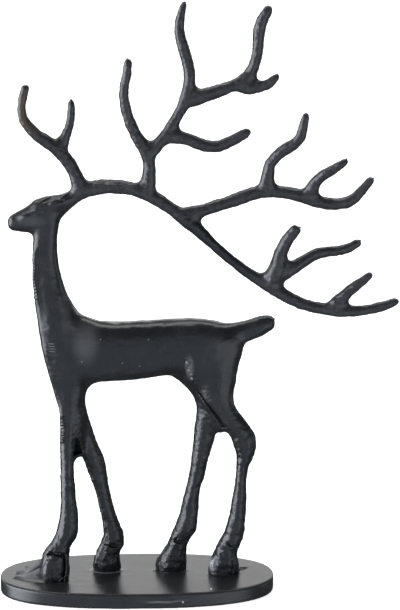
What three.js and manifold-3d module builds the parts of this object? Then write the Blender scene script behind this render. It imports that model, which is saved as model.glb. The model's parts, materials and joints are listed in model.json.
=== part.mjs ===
// A cast stag standing on an oval base plate, for a shelf or a table.
// Two pieces: the stag, one casting from hooves to antler tips, and the plate under its hooves.
// Millimetres, +Z up. The origin is the centre of the plate's underside. The stag faces -X, and
// its near side is -Y.
import * as THREE from "three";
import { mergeVertices } from "three/addons/utils/BufferGeometryUtils.js";
import Module from "manifold-3d";

// The plate: a rounded oval whose outline is a superellipse. Squareness is a superellipse's
// exponent: 2 is an ellipse, more is squarer.
const PLATE_LENGTH = 181;
const PLATE_DEPTH = 80;
const PLATE_THICKNESS = 10;
const PLATE_SQUARENESS = 2.45;
const PLATE_EDGE = 0.8; // rounding of the upper and lower edges
const PLATE_TURN = 1.2; // degrees that the plate stands askew under the stag
const PLATE_OUTLINE_POINTS = 56;

// Facets: points around a limb, and the distance between its rings.
const TORSO_FACETS = { sides: 18, step: 9 };
const NECK_FACETS = { sides: 14, step: 7 };
const LEG_FACETS = { sides: 10, step: 6 };
const ANTLER_FACETS = { sides: 8, step: 7 };
const FACE_FACETS = { sides: 6, step: 5 };
const DOME_RINGS = 2; // rings of a rounded end

// A limb's section is a superellipse. Its half depth, front to back, is base plus share of its
// half width in the side view.
const TORSO_SECTION = { base: 0, share: 0.66, squareness: 2.7 };
const NECK_SECTION = { base: 0, share: 0.82, squareness: 2.9 };
const HEAD_SECTION = { base: 1.6, share: 0.53, squareness: 2.2 };
const TAIL_SECTION = { base: 0, share: 0.83, squareness: 2.4 };
const LEG_SECTION = { base: 2.6, share: 0.42, squareness: 2 };
const FACE_SECTION = { base: 0.5, share: 0.45, squareness: 2 };
const ANTLER_SECTION = { base: 0, share: 0.94, squareness: 2 };

// A branch of the antler widens into a web where it leaves its parent: by how much, and how far out.
const WEB_WIDTH = 1.2;
const WEB_REACH = 4;

// Each limb is drawn in the side view by a line of stations: x, z, half width.
// side is its y, from the start to the end in even steps, and tip is the length of its rounded end.
const TORSO = {
  line: [
    [-46, 163, 16.5],
    [-28, 162.3, 19.7],
    [-6, 162.5, 19.2],
    [10, 163.8, 18.8],
    [22, 165.2, 17.9],
    [36, 165.2, 18.5],
    [48, 164.8, 18.1],
    [61, 162.8, 14.4],
  ],
  side: [-0.5, 3],
  tip: 8.5,
};
const WITHERS = {
  line: [
    [-46, 181, 10],
    [-35, 176.3, 9.6],
    [-20, 171, 9.6],
  ],
  side: [0, 0.5],
  tip: 6,
};
const NECK = {
  line: [
    [-55.6, 253, 8.4],
    [-57.1, 240, 7.4],
    [-57.7, 224, 7.9],
    [-56.4, 210, 9.4],
    [-53.7, 197, 10.7],
    [-48.7, 180, 13.8],
    [-45.6, 165, 14.3],
    [-44, 151, 12.7],
    [-43, 138, 10.4],
    [-42.4, 128, 8.4],
  ],
  side: [0, -0.5],
  tip: 6,
};
const HEAD = {
  line: [
    [-42, 262.2, 5],
    [-47, 259.5, 6.6],
    [-53, 256.5, 9.1],
    [-59.5, 253, 10.2],
    [-66, 249.6, 8.4],
    [-72.6, 248.1, 6.9],
    [-77.6, 247.3, 5.2],
  ],
  side: [0, 0],
  tip: 3.6,
};
const TAIL = {
  line: [
    [56, 171, 8.8],
    [72, 175.4, 6.9],
    [80, 178.4, 6.5],
    [86, 181, 5.2],
  ],
  side: [3, 3],
  tip: 3.8,
};

// The brow line and the laid-back ear, on both sides of the head.
const FACE = [
  {
    line: [
      [-72.5, 250.5, 1.2],
      [-66.5, 252.9, 1.8],
      [-60.5, 255.7, 2.1],
      [-56, 257.8, 1.7],
    ],
    side: [4.4, 6.7],
    tip: 1.2,
  },
  {
    line: [
      [-56, 258, 1.6],
      [-52, 259.9, 2.6],
      [-48.2, 261.6, 2.4],
      [-45.4, 263, 1.4],
    ],
    side: [5.8, 6.8],
    tip: 1.2,
  },
];

// Legs from the shoulder or hip down. Each runs past the sole, where it is cut on the plate's top.
const LEGS = {
  nearFore: {
    line: [
      [-44.5, 162, 11.5],
      [-43.6, 140, 8.6],
      [-43.4, 122, 6.3],
      [-44.6, 102, 5],
      [-45, 84, 4.3],
      [-44.6, 66, 4.7],
      [-44.2, 54, 5.9],
      [-44.8, 45, 7],
      [-46.2, 40, 6.8],
      [-48.8, 35.3, 6.2],
      [-51.6, 29.5, 7.7],
      [-53.5, 22, 9.7],
      [-54.2, 14, 10.1],
      [-54.2, 7, 9.4],
    ],
    side: [-2.5, -4, -8, -11.5],
    tip: 2,
  },
  farFore: {
    line: [
      [-40.5, 150, 13.5],
      [-40.6, 138, 8.4],
      [-37.6, 119, 6.1],
      [-33.6, 103, 6.3],
      [-27.3, 85, 6.5],
      [-24.2, 72, 5],
      [-21.3, 59, 4.4],
      [-18.5, 47.5, 4.7],
      [-16.1, 38, 6.1],
      [-15.4, 31, 7.7],
      [-18, 25.3, 7.1],
      [-20, 18.5, 8.6],
      [-20.3, 13, 9.6],
      [-20.3, 7, 8],
    ],
    side: [0.5, 4.8, 7, 8],
    tip: 2,
  },
  nearHind: {
    line: [
      [49.5, 162, 16.4],
      [51.4, 152, 15.8],
      [52.2, 143, 13.8],
      [53.3, 132, 10.8],
      [58.9, 121, 7.6],
      [66.6, 111.3, 7.1],
      [70.9, 102.5, 7.9],
      [71.4, 94.5, 6],
      [69.4, 86, 3.9],
      [68.6, 77, 3.5],
      [67.7, 64, 4.3],
      [66.4, 51, 5.3],
      [64.8, 40, 6.4],
      [62.2, 33, 6.8],
      [59.2, 26.5, 7.1],
      [57.8, 19.5, 9.4],
      [57.6, 13.5, 10.7],
      [57.4, 7, 10.2],
    ],
    side: [1.5, -3.5, -1, 2],
    tip: 2,
  },
  farHind: {
    line: [
      [46.5, 156, 20],
      [44.8, 145, 18],
      [46.4, 134, 9],
      [46.6, 122, 7.2],
      [45, 106, 7.1],
      [42.4, 92, 5.8],
      [39.8, 78, 5.1],
      [37.3, 67, 4.6],
      [35.3, 57, 5.3],
      [34, 47, 6.4],
      [32.3, 39.5, 7.3],
      [29, 33.3, 6.4],
      [26.8, 28, 6.3],
      [25, 22, 7.8],
      [23.5, 16, 9.9],
      [22.3, 11.5, 11],
      [22, 7, 10],
    ],
    side: [1, 6.5, 8, 9],
    tip: 2,
  },
  foreCrotch: {
    line: [
      [-39.6, 122, 7],
      [-38.8, 108, 4.6],
      [-38.3, 94, 3.3],
    ],
    side: [-2.6, 0],
    tip: 3,
  },
  foreArch: {
    line: [
      [-38, 130, 3.2],
      [-34.8, 138.4, 3.7],
      [-30.4, 143.4, 3.9],
      [-21, 146.4, 3.6],
    ],
    side: [0, 0],
    tip: 2,
  },
  hindArch: {
    line: [
      [10, 152.6, 3.8],
      [20.2, 150.9, 3.9],
      [29.9, 145.5, 3.9],
      [38.5, 136.6, 3.9],
      [42, 127, 3.6],
    ],
    side: [1, 4],
    tip: 2,
  },
  hindCrotch: {
    line: [
      [49, 122, 6],
      [56, 110, 4.6],
    ],
    side: [2, 2],
    tip: 2.4,
  },
};

// The antler: a beam that sweeps back from the head, with its branches and tines in one upright plane.
const ANTLER = {
  beam: {
    line: [
      [-50, 257, 6.4],
      [-42, 261.8, 4.9],
      [-33, 268, 5],
      [-22, 270.8, 4.9],
      [-11, 270.9, 4.6],
      [0, 269.1, 4.3],
      [11, 264.5, 4.2],
      [22, 257.6, 4.1],
      [34, 248.6, 4.7],
      [44, 239.1, 4],
      [54, 229.8, 3.7],
      [66, 219.5, 3.8],
      [78, 211.1, 4],
      [88, 205.3, 4.2],
      [98, 199.1, 3.7],
      [109, 193.8, 3.5],
      [122, 190.9, 3.5],
      [134, 189.6, 3.6],
      [146, 190, 3.2],
      [158, 192.5, 3.1],
      [167.3, 195.7, 2.4],
    ],
    side: [0, -2],
    tip: 2.2,
  },
  browStem: {
    line: [
      [-33, 266, 5],
      [-36, 274.5, 4.4],
      [-38.3, 281, 4],
      [-45.6, 291.6, 4.4],
      [-53, 298.8, 4.2],
      [-60, 303.2, 3.8],
      [-65.2, 307.9, 3.5],
      [-69.4, 313, 3.1],
      [-71, 320, 2.8],
      [-70, 328, 2.8],
      [-68.1, 335, 2.6],
    ],
    side: [0, -3],
    tip: 1.8,
  },
  browTine: {
    line: [
      [-46.5, 293, 3.6],
      [-45.4, 299.5, 3.1],
      [-42.8, 305, 3],
      [-40.4, 312, 2.7],
      [-39.8, 318, 2.7],
      [-39.8, 322, 2.3],
    ],
    side: [-1, 2],
    tip: 5.2,
  },
  crownStem: {
    line: [
      [7.5, 266, 4.8],
      [9.2, 276, 4.1],
      [9.4, 286, 3.9],
      [7.8, 294, 4.6],
      [3.6, 300.3, 3.8],
      [-0.4, 307.5, 3.7],
      [-4.1, 317.5, 3.3],
      [-6.3, 327, 3.2],
      [-5.9, 336, 3],
      [-4.2, 343.5, 2.9],
      [-3.6, 349.4, 2.6],
    ],
    side: [0, -3],
    tip: 4.2,
  },
  crownTop: {
    line: [
      [9.5, 291, 3.6],
      [15.4, 298.6, 3.5],
      [21.1, 305.8, 3.7],
      [25.9, 313.4, 3.4],
      [30.4, 321.7, 3.6],
      [33.6, 330, 3.8],
      [35, 339, 3.6],
      [34.3, 348.5, 3.6],
      [31.4, 358.5, 3.6],
      [29.2, 366.5, 3.3],
      [28.5, 373, 3.2],
      [29.4, 379, 3],
      [30.9, 384, 2.4],
    ],
    side: [-1, 4],
    tip: 5,
  },
  crownLow: {
    line: [
      [16, 301, 3],
      [22, 303, 3.6],
      [29, 302.9, 4],
      [36, 300.9, 3.9],
      [43, 298, 3.8],
      [50, 296.4, 3.9],
      [57, 298.5, 3.7],
      [64, 302.1, 3.5],
      [70, 305.4, 3],
    ],
    side: [0, -3],
    tip: 4.2,
  },
  crownArm: {
    line: [
      [31.5, 325.5, 4.2],
      [41, 328.2, 4.6],
      [52, 331.6, 4.1],
      [62, 334.9, 3.9],
      [69.8, 338.8, 4.1],
      [74.4, 344.6, 3.5],
      [77.2, 352, 3.1],
      [78.3, 359, 3],
      [78.6, 366, 3.4],
      [79.4, 372.5, 3.9],
      [81.6, 378.5, 3.6],
      [84.4, 382.6, 2.8],
    ],
    side: [1.2, 3],
    tip: 3,
  },
  crownHook: {
    line: [
      [65, 334.6, 3.4],
      [73, 334.4, 3.6],
      [79.5, 334.6, 3.4],
      [84.6, 336.2, 2.9],
      [89.6, 341, 2.1],
    ],
    side: [2, -1],
    tip: 2.4,
  },
  rearArm: {
    line: [
      [29, 252.4, 4],
      [38, 253.8, 4.2],
      [48, 256.9, 3.8],
      [60, 260.6, 4],
      [74, 265.8, 4.1],
      [85, 267.7, 4],
      [94, 266.7, 3.7],
      [102, 265.4, 3.9],
      [110, 263, 4],
      [119, 260, 3.7],
      [128, 258.9, 3.5],
      [135.4, 259.7, 3.5],
      [141, 263, 3.2],
      [146, 268.6, 2.8],
      [150.2, 273.9, 2.3],
    ],
    side: [0, 4],
    tip: 2.4,
  },
  rearTine: {
    line: [
      [83.2, 266, 4.3],
      [84.6, 274, 3.9],
      [85.4, 281.5, 3.5],
      [87.4, 287.8, 3.4],
      [92.4, 292.7, 3.5],
      [98.6, 296.9, 3.4],
      [104, 300.1, 3.4],
      [106.4, 305.4, 3.1],
      [107.1, 311, 2.8],
      [108.2, 316, 2.3],
    ],
    side: [1.5, -3],
    tip: 3.2,
  },
  rearSpur: {
    line: [
      [109.5, 263, 3.8],
      [113.2, 269.4, 3.4],
      [116.2, 274.6, 3.2],
      [120.4, 278.7, 3.1],
      [126, 282.1, 2.9],
      [131.4, 285.8, 2.3],
    ],
    side: [2.2, -3],
    tip: 5,
  },
  lowStem: {
    line: [
      [86, 206, 4.4],
      [89, 213, 5.4],
      [91.6, 220.5, 4.9],
      [93.2, 228, 4.2],
      [96, 234.8, 3.7],
      [99.8, 240.6, 3.4],
      [103.3, 245, 3.2],
    ],
    side: [-1, -6],
    tip: 0.9,
  },
  lowTine: {
    line: [
      [90, 212.5, 4.2],
      [96.5, 215.6, 4.4],
      [103, 218.6, 3.9],
      [109.6, 222.9, 3.5],
      [116.4, 226.6, 3.3],
      [125, 228.3, 3.1],
      [133, 229, 3],
      [139, 230.8, 2.9],
      [142.8, 233.2, 2.4],
    ],
    side: [-1.5, 4],
    tip: 2,
  },
  lowSpur: {
    line: [
      [125, 190.5, 3.7],
      [130.6, 195.8, 3.8],
      [136, 201.4, 3.3],
      [141.8, 206.4, 3.1],
      [147.2, 210.9, 2.7],
      [150.4, 213.4, 2.1],
    ],
    side: [-1.5, -3],
    tip: 1.9,
  },
};

const wasm = await Module();
wasm.setup();

// A closed geometry as a solid that can be joined and cut.
function solidOf(geometry) {
  const bare = geometry.clone();
  bare.deleteAttribute("normal");
  bare.deleteAttribute("uv");
  const merged = mergeVertices(bare);
  return new wasm.Manifold(
    new wasm.Mesh({
      numProp: 3,
      vertProperties: merged.attributes.position.array,
      triVerts: new Uint32Array(merged.index.array),
    }),
  );
}

// A solid's surface as a geometry.
function geometryOf(solid) {
  const mesh = solid.getMesh();
  const geometry = new THREE.BufferGeometry();
  geometry.setAttribute("position", new THREE.BufferAttribute(mesh.vertProperties, 3));
  geometry.setIndex(new THREE.BufferAttribute(mesh.triVerts, 1));
  geometry.computeVertexNormals();
  return geometry;
}

// How much wider a branch is at this distance from its root, none at the root itself.
function webAt(distance) {
  const share = distance / WEB_REACH;
  return WEB_WIDTH * share ** 2 * Math.exp(2 - 2 * share);
}

// How far a superellipse reaches along an axis, from the sine or cosine of the turn round it.
const reach = (share, squareness) => Math.sign(share) * Math.abs(share) ** (2 / squareness);

// A closed limb: oval rings along a smooth line through its stations, flat at the start and
// rounded at the end. Only a webbed limb widens near its root.
function limb({ line, side, tip }, section, { sides, step }, webbed = false) {
  const middle = new THREE.CatmullRomCurve3(line.map(([x, z]) => new THREE.Vector3(x, 0, z)));
  const widths = new THREE.CatmullRomCurve3(line.map((row) => new THREE.Vector3(row[2], 0, 0)));
  const sideways = new THREE.CatmullRomCurve3(side.map((y) => new THREE.Vector3(0, y, 0)));
  const length = middle.getLength();
  const ringCount = Math.ceil(length / step);
  const depthAxis = new THREE.Vector3(0, 1, 0);
  const positions = [];

  // One ring of points round the line, at a share of its length, or shrunk on the rounded end.
  const addRing = (share, shrink, onward) => {
    const t = middle.getUtoTmapping(share);
    const tangent = middle.getTangent(t);
    const across = new THREE.Vector3().crossVectors(depthAxis, tangent).normalize();
    const centre = middle.getPoint(t).addScaledVector(tangent, onward);
    centre.y = sideways.getPoint(share).y;
    const plainWidth = widths.getPoint(t).x;
    const halfWidth = shrink * (plainWidth + (webbed ? webAt(share * length) : 0));
    const halfDepth = shrink * (section.base + section.share * plainWidth);
    for (let i = 0; i < sides; i++) {
      const angle = (2 * Math.PI * i) / sides;
      const point = centre
        .clone()
        .addScaledVector(across, halfWidth * reach(Math.cos(angle), section.squareness))
        .addScaledVector(depthAxis, -halfDepth * reach(Math.sin(angle), section.squareness));
      positions.push(...point);
    }
  };

  for (let ring = 0; ring <= ringCount; ring++) addRing(ring / ringCount, 1, 0);
  for (let ring = 1; ring <= DOME_RINGS; ring++) {
    const turn = ((Math.PI / 2) * ring) / (DOME_RINGS + 1);
    addRing(1, Math.cos(turn), tip * Math.sin(turn));
  }
  const rings = positions.length / 3 / sides;
  const endPoint = middle.getPoint(1).addScaledVector(middle.getTangent(1), tip);
  positions.push(line[0][0], side[0], line[0][1]);
  positions.push(endPoint.x, side.at(-1), endPoint.z);

  const startPole = rings * sides;
  const endPole = startPole + 1;
  const lastRing = startPole - sides;
  const triangles = [];
  for (let i = 0; i < sides; i++) {
    const j = (i + 1) % sides;
    triangles.push(startPole, i, j);
    for (let low = 0; low < lastRing; low += sides) {
      const high = low + sides;
      triangles.push(low + i, high + j, low + j, low + i, high + i, high + j);
    }
    triangles.push(endPole, lastRing + j, lastRing + i);
  }
  const geometry = new THREE.BufferGeometry();
  geometry.setAttribute("position", new THREE.Float32BufferAttribute(positions, 3));
  geometry.setIndex(triangles);
  return solidOf(geometry);
}

// The same limb on the other side of the stag's middle plane.
const mirrored = (part) => ({ ...part, side: part.side.map((y) => -y) });

// The whole stag as one casting, its soles cut flat on the plate's top.
function stagGeometry() {
  const limbs = [
    limb(TORSO, TORSO_SECTION, TORSO_FACETS),
    limb(WITHERS, NECK_SECTION, NECK_FACETS),
    limb(NECK, NECK_SECTION, NECK_FACETS),
    limb(HEAD, HEAD_SECTION, NECK_FACETS),
    limb(TAIL, TAIL_SECTION, LEG_FACETS),
    ...FACE.flatMap((part) => [part, mirrored(part)]).map((part) => limb(part, FACE_SECTION, FACE_FACETS)),
    ...Object.values(LEGS).map((leg) => limb(leg, LEG_SECTION, LEG_FACETS)),
    ...Object.values(ANTLER).map((branch) => limb(branch, ANTLER_SECTION, ANTLER_FACETS, true)),
  ];
  const whole = limbs.reduce((joined, piece) => joined.add(piece));
  const below = new THREE.BoxGeometry(2 * PLATE_LENGTH, 2 * PLATE_DEPTH, 2 * PLATE_THICKNESS);
  return geometryOf(whole.subtract(solidOf(below)));
}

// The plate: its outline drawn as a superellipse, pushed up to the full thickness with rounded edges.
function plateGeometry() {
  const outline = new THREE.Shape();
  for (let i = 0; i < PLATE_OUTLINE_POINTS; i++) {
    const angle = (2 * Math.PI * i) / PLATE_OUTLINE_POINTS;
    const x = (PLATE_LENGTH / 2 - PLATE_EDGE) * reach(Math.cos(angle), PLATE_SQUARENESS);
    const y = (PLATE_DEPTH / 2 - PLATE_EDGE) * reach(Math.sin(angle), PLATE_SQUARENESS);
    if (i === 0) outline.moveTo(x, y);
    else outline.lineTo(x, y);
  }
  outline.closePath();
  const plate = new THREE.ExtrudeGeometry(outline, {
    depth: PLATE_THICKNESS - 2 * PLATE_EDGE,
    bevelThickness: PLATE_EDGE,
    bevelSize: PLATE_EDGE,
    bevelSegments: 1,
  });
  return plate.translate(0, 0, PLATE_EDGE).rotateZ(THREE.MathUtils.degToRad(PLATE_TURN));
}

const stagIron = new THREE.MeshStandardMaterial({ color: 0x23262a, roughness: 0.45, metalness: 0.3 });
const plateIron = new THREE.MeshStandardMaterial({ color: 0x26282b, roughness: 0.35, metalness: 0.3 });

const stag = new THREE.Mesh(stagGeometry(), stagIron);
stag.name = "stag";

const plate = new THREE.Mesh(plateGeometry(), plateIron);
plate.name = "base_plate";

const statue = new THREE.Group();
statue.add(stag, plate);

export default statue;
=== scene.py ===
import json
import logging
import math
from dataclasses import dataclass
from enum import Enum
from typing import Any, Callable

import bpy
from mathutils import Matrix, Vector

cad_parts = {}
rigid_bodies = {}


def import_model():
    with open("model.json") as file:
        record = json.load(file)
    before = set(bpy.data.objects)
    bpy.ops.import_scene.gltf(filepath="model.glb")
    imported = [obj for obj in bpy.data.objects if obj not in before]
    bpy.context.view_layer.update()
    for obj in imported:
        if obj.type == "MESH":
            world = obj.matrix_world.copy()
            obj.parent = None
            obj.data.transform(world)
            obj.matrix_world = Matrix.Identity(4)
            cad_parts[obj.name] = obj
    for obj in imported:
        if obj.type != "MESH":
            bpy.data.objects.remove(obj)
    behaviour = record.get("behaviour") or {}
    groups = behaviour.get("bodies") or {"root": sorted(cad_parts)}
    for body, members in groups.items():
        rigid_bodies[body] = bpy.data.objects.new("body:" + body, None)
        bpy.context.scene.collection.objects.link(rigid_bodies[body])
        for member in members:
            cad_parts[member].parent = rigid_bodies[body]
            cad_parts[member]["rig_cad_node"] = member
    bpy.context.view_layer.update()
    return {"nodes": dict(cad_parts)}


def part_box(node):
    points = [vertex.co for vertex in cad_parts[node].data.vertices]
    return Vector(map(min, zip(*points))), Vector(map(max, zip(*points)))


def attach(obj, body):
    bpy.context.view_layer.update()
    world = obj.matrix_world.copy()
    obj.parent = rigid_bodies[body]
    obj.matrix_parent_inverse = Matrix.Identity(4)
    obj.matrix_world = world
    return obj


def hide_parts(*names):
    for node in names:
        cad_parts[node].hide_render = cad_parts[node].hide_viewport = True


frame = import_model()

LOG = logging.getLogger("stag_statue")
MM = 0.001
BODY = "root"

NOISE_MIDDLE = 0.5

Piece = bpy.types.Object
Colour = tuple[float, float, float]
Place = tuple[float, float, float]
Pair = tuple[float, float]
Run = tuple[Place, ...]
Region = tuple[Pair, Pair]


class Side(Enum):
    """A side of the stag, as the sign of its y."""

    NEAR = -1.0
    FAR = 1.0


class Tool(Enum):
    """A modifier that shapes a casting, by its type in Blender."""

    SWELL = "DISPLACE"
    RESKIN = "REMESH"
    SMOOTH = "SMOOTH"
    CUT = "BOOLEAN"
    THIN = "DECIMATE"
    ROUND = "SUBSURF"


class Way(Enum):
    """The way in which a skin is pushed, by its name in Blender."""

    OUT = "NORMAL"
    ACROSS = "Y"


class Workbench:
    """Selection, edit-mode steps, modifiers and joins, as done by hand."""

    weld_gap = 0.01 * MM
    cutter_voxel = 0.4 * MM
    smooth_step = 0.5

    @classmethod
    def pick(cls, *pieces: Piece) -> None:
        """Select these pieces alone, with the first one active.

        Args:
            pieces: The pieces to select.
        """
        bpy.ops.object.select_all(action="DESELECT")
        for piece in pieces:
            piece.select_set(True)
        bpy.context.view_layer.objects.active = pieces[0]

    @classmethod
    def edit(cls, piece: Piece, *steps: Callable[[], Any]) -> None:
        """Run steps in edit mode with the whole mesh selected.

        Args:
            piece: The piece to edit.
            steps: The operators to call, in order.
        """
        cls.pick(piece)
        bpy.ops.object.mode_set(mode="EDIT")
        bpy.ops.mesh.select_all(action="SELECT")
        for step in steps:
            step()
        bpy.ops.object.mode_set(mode="OBJECT")

    @classmethod
    def select_faces(cls, piece: Piece, wanted: Callable[[bpy.types.MeshPolygon], bool]) -> None:
        """Select the faces of a piece by their place or normal, for the next edit.

        Args:
            piece: The piece to edit.
            wanted: Says which faces to select.
        """
        cls.edit(
            piece,
            lambda: bpy.ops.mesh.select_mode(type="FACE"),
            lambda: bpy.ops.mesh.select_all(action="DESELECT"),
        )
        for face in piece.data.polygons:
            face.select = wanted(face)

    @classmethod
    def weight(cls, piece: Piece, name: str, share: Callable[[Vector], float]) -> None:
        """Weight the points of a piece for a modifier.

        Args:
            piece: The piece.
            name: The name of the vertex group.
            share: Gives a point's weight from its place in millimetres.
        """
        group = piece.vertex_groups.new(name=name)
        for point in piece.data.vertices:
            weight = share(point.co / MM)
            if weight > 0.0:
                group.add([point.index], weight, "REPLACE")

    @classmethod
    def weld(cls, piece: Piece) -> None:
        """Merge the doubled points of a piece and turn its faces outwards."""
        cls.edit(
            piece,
            lambda: bpy.ops.mesh.remove_doubles(threshold=cls.weld_gap),
            lambda: bpy.ops.mesh.normals_make_consistent(inside=False),
        )

    @classmethod
    def casting_from(cls, node: str, name: str) -> Piece:
        """Copy a solid of the frame as a mesh to work on.

        Args:
            node: The solid's name.
            name: The name of the copy.

        Returns:
            The welded copy, with no parent and no material.
        """
        cls.pick(frame["nodes"][node])
        bpy.ops.object.duplicate()
        piece = bpy.context.active_object
        bpy.ops.object.parent_clear(type="CLEAR_KEEP_TRANSFORM")
        del piece["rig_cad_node"]
        piece.name = name
        piece.data.name = name
        piece.data.materials.clear()
        cls.edit(piece, lambda: bpy.ops.mesh.remove_doubles(threshold=cls.weld_gap))
        return piece

    @classmethod
    def apply(cls, piece: Piece, tool: Tool, **settings: Any) -> None:
        """Add a modifier to a piece and apply it.

        Args:
            piece: The piece to change.
            tool: The modifier.
            settings: The modifier's settings.
        """
        cls.pick(piece)
        modifier = piece.modifiers.new(tool.name, tool.value)
        for name, value in settings.items():
            setattr(modifier, name, value)
        bpy.ops.object.modifier_apply(modifier=modifier.name)

    @classmethod
    def smooth(cls, piece: Piece, rounds: int, group: str = "") -> None:
        """Smooth a piece, or the part of it that a vertex group holds."""
        cls.apply(piece, Tool.SMOOTH, factor=cls.smooth_step, iterations=rounds, vertex_group=group)

    @classmethod
    def swell(cls, piece: Piece, height: float, group: str = "", way: Way = Way.OUT) -> None:
        """Push the skin of a piece out, or draw it in.

        Args:
            piece: The piece to change.
            height: How far, in millimetres, with a minus to draw it in.
            group: The vertex group that it is limited to, or none.
            way: The way in which it is pushed.
        """
        cls.apply(piece, Tool.SWELL, strength=height * MM, mid_level=0.0, vertex_group=group,
                  direction=way.value)

    @classmethod
    def press(cls, piece: Piece, squash: Place, middle: Place) -> Piece:
        """Press a piece flat about a point.

        Args:
            piece: The piece to change.
            squash: What is left of its width along x, y and z.
            middle: The point that stays, in metres.

        Returns:
            The piece.
        """
        cls.edit(piece, lambda: bpy.ops.transform.resize(value=squash, center_override=middle))
        return piece

    @classmethod
    def join(cls, piece: Piece, lumps: list[Piece]) -> None:
        """Join lumps to a piece, to be made one skin by the next remesh."""
        cls.pick(piece, *lumps)
        bpy.ops.object.join()

    @classmethod
    def carve(cls, piece: Piece, cutters: list[Piece]) -> None:
        """Cut shapes out of a piece and take the cutters away.

        Args:
            piece: The piece to change.
            cutters: The shapes, which may overlap.
        """
        whole = cutters[0]
        cls.join(whole, cutters[1:])
        cls.apply(whole, Tool.RESKIN, mode="VOXEL", voxel_size=cls.cutter_voxel)
        cls.apply(piece, Tool.CUT, operation="DIFFERENCE", solver="MANIFOLD", object=whole)
        cls.pick(whole)
        bpy.ops.object.delete()

    @classmethod
    def reskin(cls, piece: Piece, voxel: float, rounds: int) -> None:
        """Make one even skin of a piece and all that is joined to it.

        Args:
            piece: The piece to change.
            voxel: The size of the skin's faces, in millimetres.
            rounds: How often the skin is smoothed.
        """
        cls.apply(piece, Tool.RESKIN, mode="VOXEL", voxel_size=voxel * MM)
        cls.smooth(piece, rounds)


@dataclass(frozen=True)
class Ripple:
    """A cloudy pattern of lumps, as a sand mould leaves it.

    Attributes:
        size: The width of a lump, in millimetres.
        height: The difference from hollow to lump, in millimetres.
        stretch: How much longer the lumps are along x, y and z.
        group: The vertex group that it is limited to, or none.
    """

    size: float
    height: float
    stretch: Place = (1.0, 1.0, 1.0)
    group: str = ""

    def raise_on(self, piece: Piece) -> None:
        """Raise and sink the skin of a piece by the pattern.

        Args:
            piece: The piece to change.
        """
        texture = bpy.data.textures.new("mould_lumps", "CLOUDS")
        texture.noise_scale = 1.0
        texture.noise_depth = 1
        bpy.ops.object.empty_add()
        grid = bpy.context.active_object
        grid.scale = [self.size * MM * share for share in self.stretch]
        bpy.context.view_layer.update()
        Workbench.apply(piece, Tool.SWELL, texture=texture, texture_coords="OBJECT", vertex_group=self.group,
                        texture_coords_object=grid, strength=self.height * MM, mid_level=0.5)
        Workbench.pick(grid)
        bpy.ops.object.delete()
        bpy.data.textures.remove(texture)


class Skin:
    """The outer face of a piece, on which details are placed by two coordinates in millimetres."""

    reach = 0.5
    clear = 0.02

    def __init__(self, piece: Piece) -> None:
        """Keep the piece that carries the details."""
        self.piece = piece

    def place(self, first: float, second: float, lift: float) -> Vector:
        """Find a point on the skin.

        Args:
            first: The first coordinate.
            second: The second coordinate.
            lift: How far the point stands off the skin.

        Returns:
            The point, in metres.
        """
        start, way = self.ray(first, second)
        hit, place, normal, _ = self.piece.ray_cast(start, way)
        if not hit:
            _, place, normal, _ = self.piece.closest_point_on_mesh(start + way * (self.reach - self.clear))
        return place + normal * lift * MM

    def ray(self, first: float, second: float) -> tuple[Vector, Vector]:
        """Give the start and the way of the ray that finds a point."""
        raise NotImplementedError


class FlankSkin(Skin):
    """One side of the stag, where the coordinates are x and z."""

    def __init__(self, piece: Piece, side: Side) -> None:
        """Keep the piece and the side that is worked on."""
        super().__init__(piece)
        self.side = side

    def ray(self, first: float, second: float) -> tuple[Vector, Vector]:
        """Give the ray that comes in level from the side."""
        start = Vector((first * MM, self.side.value * self.reach, second * MM))
        return start, Vector((0.0, -self.side.value, 0.0))


class TipPlane(Skin):
    """The upright plane of a thin branch, which runs on beyond its end; the coordinates are x and z."""

    def place(self, first: float, second: float, lift: float) -> Vector:
        """Find a point of the plane, half way through the branch or level with its end.

        Args:
            first: The first coordinate.
            second: The second coordinate.
            lift: How far behind the plane the point is.

        Returns:
            The point, in metres.
        """
        rays = [FlankSkin(self.piece, side).ray(first, second) for side in Side]
        hits = [self.piece.ray_cast(*ray) for ray in rays]
        level = Vector((first * MM, 0.0, second * MM))
        if all(hit[0] for hit in hits):
            level.y = sum(hit[1].y for hit in hits) / len(hits)
        else:
            level.y = self.piece.closest_point_on_mesh(level)[1].y
        return level + Vector((0.0, lift * MM, 0.0))


class UprightPlane(Skin):
    """An upright plane beside the stag, where the coordinates are x and z and the lift is the plane's y."""

    def place(self, first: float, second: float, lift: float) -> Vector:
        """Give the point of the plane."""
        return Vector((first, lift, second)) * MM


class TopSkin(Skin):
    """The upper face of the plate, where the coordinates are x and y."""

    def ray(self, first: float, second: float) -> tuple[Vector, Vector]:
        """Give the ray that comes straight down."""
        return Vector((first * MM, second * MM, self.reach)), Vector((0.0, 0.0, -1.0))


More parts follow.
